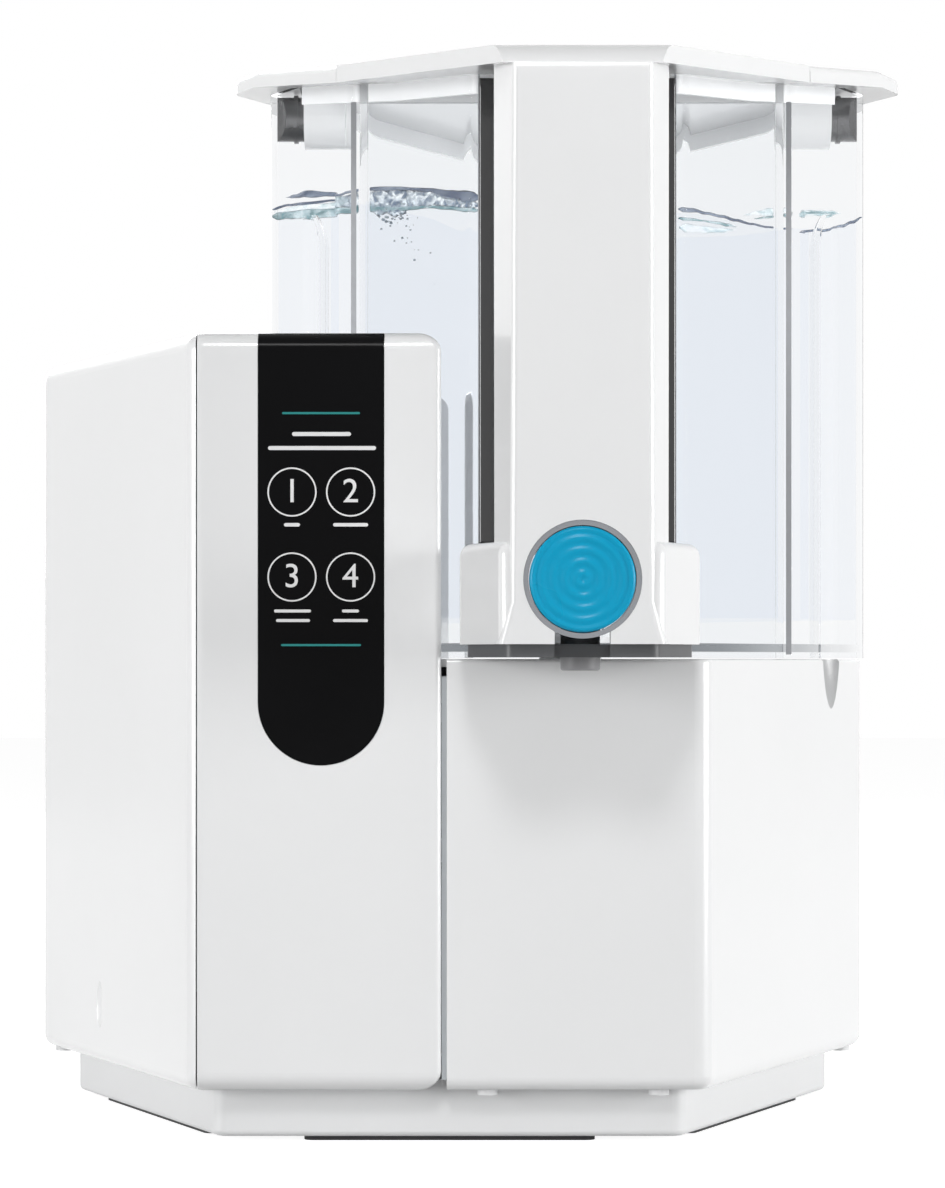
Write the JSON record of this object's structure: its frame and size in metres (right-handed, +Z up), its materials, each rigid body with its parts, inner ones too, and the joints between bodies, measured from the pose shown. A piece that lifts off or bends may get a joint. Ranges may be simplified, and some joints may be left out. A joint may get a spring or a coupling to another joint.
{
  "type": "countertop water purifier",
  "caption": "Countertop water purifier with a lift-off clean water jug with handle and push-button spout, a lift-off tap water tank with hinged lid, and a low housing with a filter tower.",
  "frame": {"origin": "bottom centre of the bounding box, on the surface the feet stand on", "axes": "+X to the right seen from the front, +Y to the back, +Z up"},
  "size_m": [0.2978, 0.363, 0.3545],
  "materials": {
    "bezel_grey": "satin plated",
    "black_panel": null,
    "black_plastic": "fine grain",
    "board_green": "solder mask",
    "button_blue": "glossy teal blue with concentric ripples",
    "canister_white": "glossy moulded",
    "dark_plastic": "satin",
    "foot_rubber": "matt rubber",
    "grey_plastic": "fine grain",
    "liner_black": "glossy black",
    "motor_steel": "black painted can",
    "nozzle_steel": "satin",
    "pin_brass": "plated contact",
    "pivot_steel": "turned satin",
    "rocker_plastic": "glossy",
    "screw_steel": "bright zinc plated",
    "seal_rubber": "matt rubber",
    "spring_steel": "drawn wire",
    "tank_clear": "clear moulded with a faint blue tint",
    "tube_white": "smooth tube",
    "white_gloss": "glossy moulded white",
    "white_satin": "satin moulded white",
    "wire_red": "smooth insulation",
    "zinc_steel": "bright zinc plated sheet"
  },
  "bodies": {
    "base_unit": {"housing_shell": "white_gloss", "deck_plate": "white_gloss", "tap_dock": "white_satin", "clean_dock": "white_satin", "base_pan": "white_satin", "rubber_feet": "foot_rubber", "bay_liner": "grey_plastic", "filter_manifold": "dark_plastic", "motor_can": "motor_steel", "pump_head": "dark_plastic", "pump_bracket": "zinc_steel", "pump_mounts": "seal_rubber", "solenoid_body": "white_satin", "solenoid_coil": "black_plastic", "solenoid_spring": "spring_steel", "board_bracket": "zinc_steel", "control_board": "board_green", "board_components": "black_plastic", "water_tubes": "tube_white", "wire_harness": "wire_red", "rear_service_panel": "grey_plastic", "power_inlet": "black_plastic", "inlet_pins": "pin_brass", "power_switch_frame": "black_plastic", "housing_screws": "screw_steel"},
    "clean_tank_unit": {"clean_tank": "tank_clear", "handle_frame": "white_gloss", "button_bezel": "bezel_grey", "dispense_valve": "white_satin", "dispense_spring": "spring_steel", "dispenser_base": "dark_plastic", "spout_nozzle": "nozzle_steel", "grip_liner": "liner_black", "clean_inlet_valve": "white_satin", "clean_inlet_spring": "spring_steel", "clean_inlet_seal": "seal_rubber"},
    "hatch_lid": {"clean_hatch": "white_gloss"},
    "button_unit": {"dispense_button": "button_blue", "dispense_plunger": "white_satin"},
    "clean_poppet": {"clean_inlet_poppet": "white_satin"},
    "tap_tank_unit": {"tap_tank": "tank_clear", "tap_tank_top": "white_gloss", "pivot_pins": "pivot_steel", "tap_outlet_valve": "white_satin", "tap_outlet_spring": "spring_steel", "tap_outlet_seal": "seal_rubber", "tap_strainer": "white_satin"},
    "tap_poppet": {"tap_outlet_poppet": "white_satin"},
    "flap_lid": {"fill_flap": "white_gloss"},
    "cover_unit": {"filter_cover": "white_gloss", "graphic_strip": "black_panel"},
    "prefilter_unit": {"prefilter_canister": "canister_white", "prefilter_seals": "seal_rubber"},
    "carbon_unit": {"carbon_canister": "canister_white", "carbon_seals": "seal_rubber"},
    "membrane_unit": {"membrane_canister": "canister_white", "membrane_seals": "seal_rubber"},
    "rocker_unit": {"power_rocker": "rocker_plastic"},
    "pump_rotor": {"motor_shaft": "screw_steel"},
    "solenoid_core": {"solenoid_plunger": "screw_steel"}
  },
  "joints": [
    {"name": "clean_tank_lift", "type": "slide", "parent": "base_unit", "child": "clean_tank_unit", "axis": [0, 0, 1], "range_m": [0, 0.12]},
    {"name": "tap_tank_lift", "type": "slide", "parent": "base_unit", "child": "tap_tank_unit", "axis": [0, 0, 1], "range_m": [0, 0.12]},
    {"name": "clean_hatch_lift", "type": "slide", "parent": "clean_tank_unit", "child": "hatch_lid", "axis": [0, 0, 1], "range_m": [0, 0.05]},
    {"name": "dispense_press", "type": "slide", "parent": "clean_tank_unit", "child": "button_unit", "axis": [0, 1, 0], "range_m": [0, 0.005], "stiffness_N_per_m": 500, "springref_m": -0.003, "deforming": ["dispense_spring"]},
    {"name": "clean_inlet_open", "type": "slide", "parent": "clean_tank_unit", "child": "clean_poppet", "axis": [0, 0, 1], "range_m": [0, 0.003], "stiffness_N_per_m": 60, "springref_m": -0.002, "deforming": ["clean_inlet_spring"]},
    {"name": "tap_outlet_open", "type": "slide", "parent": "tap_tank_unit", "child": "tap_poppet", "axis": [0, 0, -1], "range_m": [0, 0.003], "stiffness_N_per_m": 60, "springref_m": -0.002, "deforming": ["tap_outlet_spring"]},
    {"name": "fill_flap_hinge", "type": "hinge", "parent": "tap_tank_unit", "child": "flap_lid", "pos_m": [0.03336, 0.0265, 0.3403], "axis": [1, 0, 0], "range_deg": [0, 100]},
    {"name": "filter_cover_pull", "type": "slide", "parent": "base_unit", "child": "cover_unit", "axis": [0, -1, 0], "range_m": [0, 0.1]},
    {"name": "prefilter_twist", "type": "hinge", "parent": "base_unit", "child": "prefilter_unit", "pos_m": [-0.07562, -0.0945, 0.1], "axis": [0, 0, 1], "range_deg": [0, 60]},
    {"name": "carbon_twist", "type": "hinge", "parent": "base_unit", "child": "carbon_unit", "pos_m": [-0.04165, -0.0945, 0.1], "axis": [0, 0, 1], "range_deg": [0, 60]},
    {"name": "membrane_twist", "type": "hinge", "parent": "base_unit", "child": "membrane_unit", "pos_m": [-0.08308, -0.0415, 0.1], "axis": [0, 0, 1], "range_deg": [0, 60]},
    {"name": "power_rocker_tilt", "type": "hinge", "parent": "base_unit", "child": "rocker_unit", "pos_m": [0.00335, 0.1655, 0.052], "axis": [-1, 0, 0], "range_deg": [0, 24]},
    {"name": "pump_spin", "type": "hinge", "parent": "base_unit", "child": "pump_rotor", "pos_m": [0.02736, -0.0155, 0.05], "axis": [1, 0, 0], "continuous": true},
    {"name": "solenoid_pull", "type": "slide", "parent": "base_unit", "child": "solenoid_core", "axis": [0, 0, 1], "range_m": [0, 0.002], "stiffness_N_per_m": 150, "springref_m": -0.003, "deforming": ["solenoid_spring"]}
  ]
}
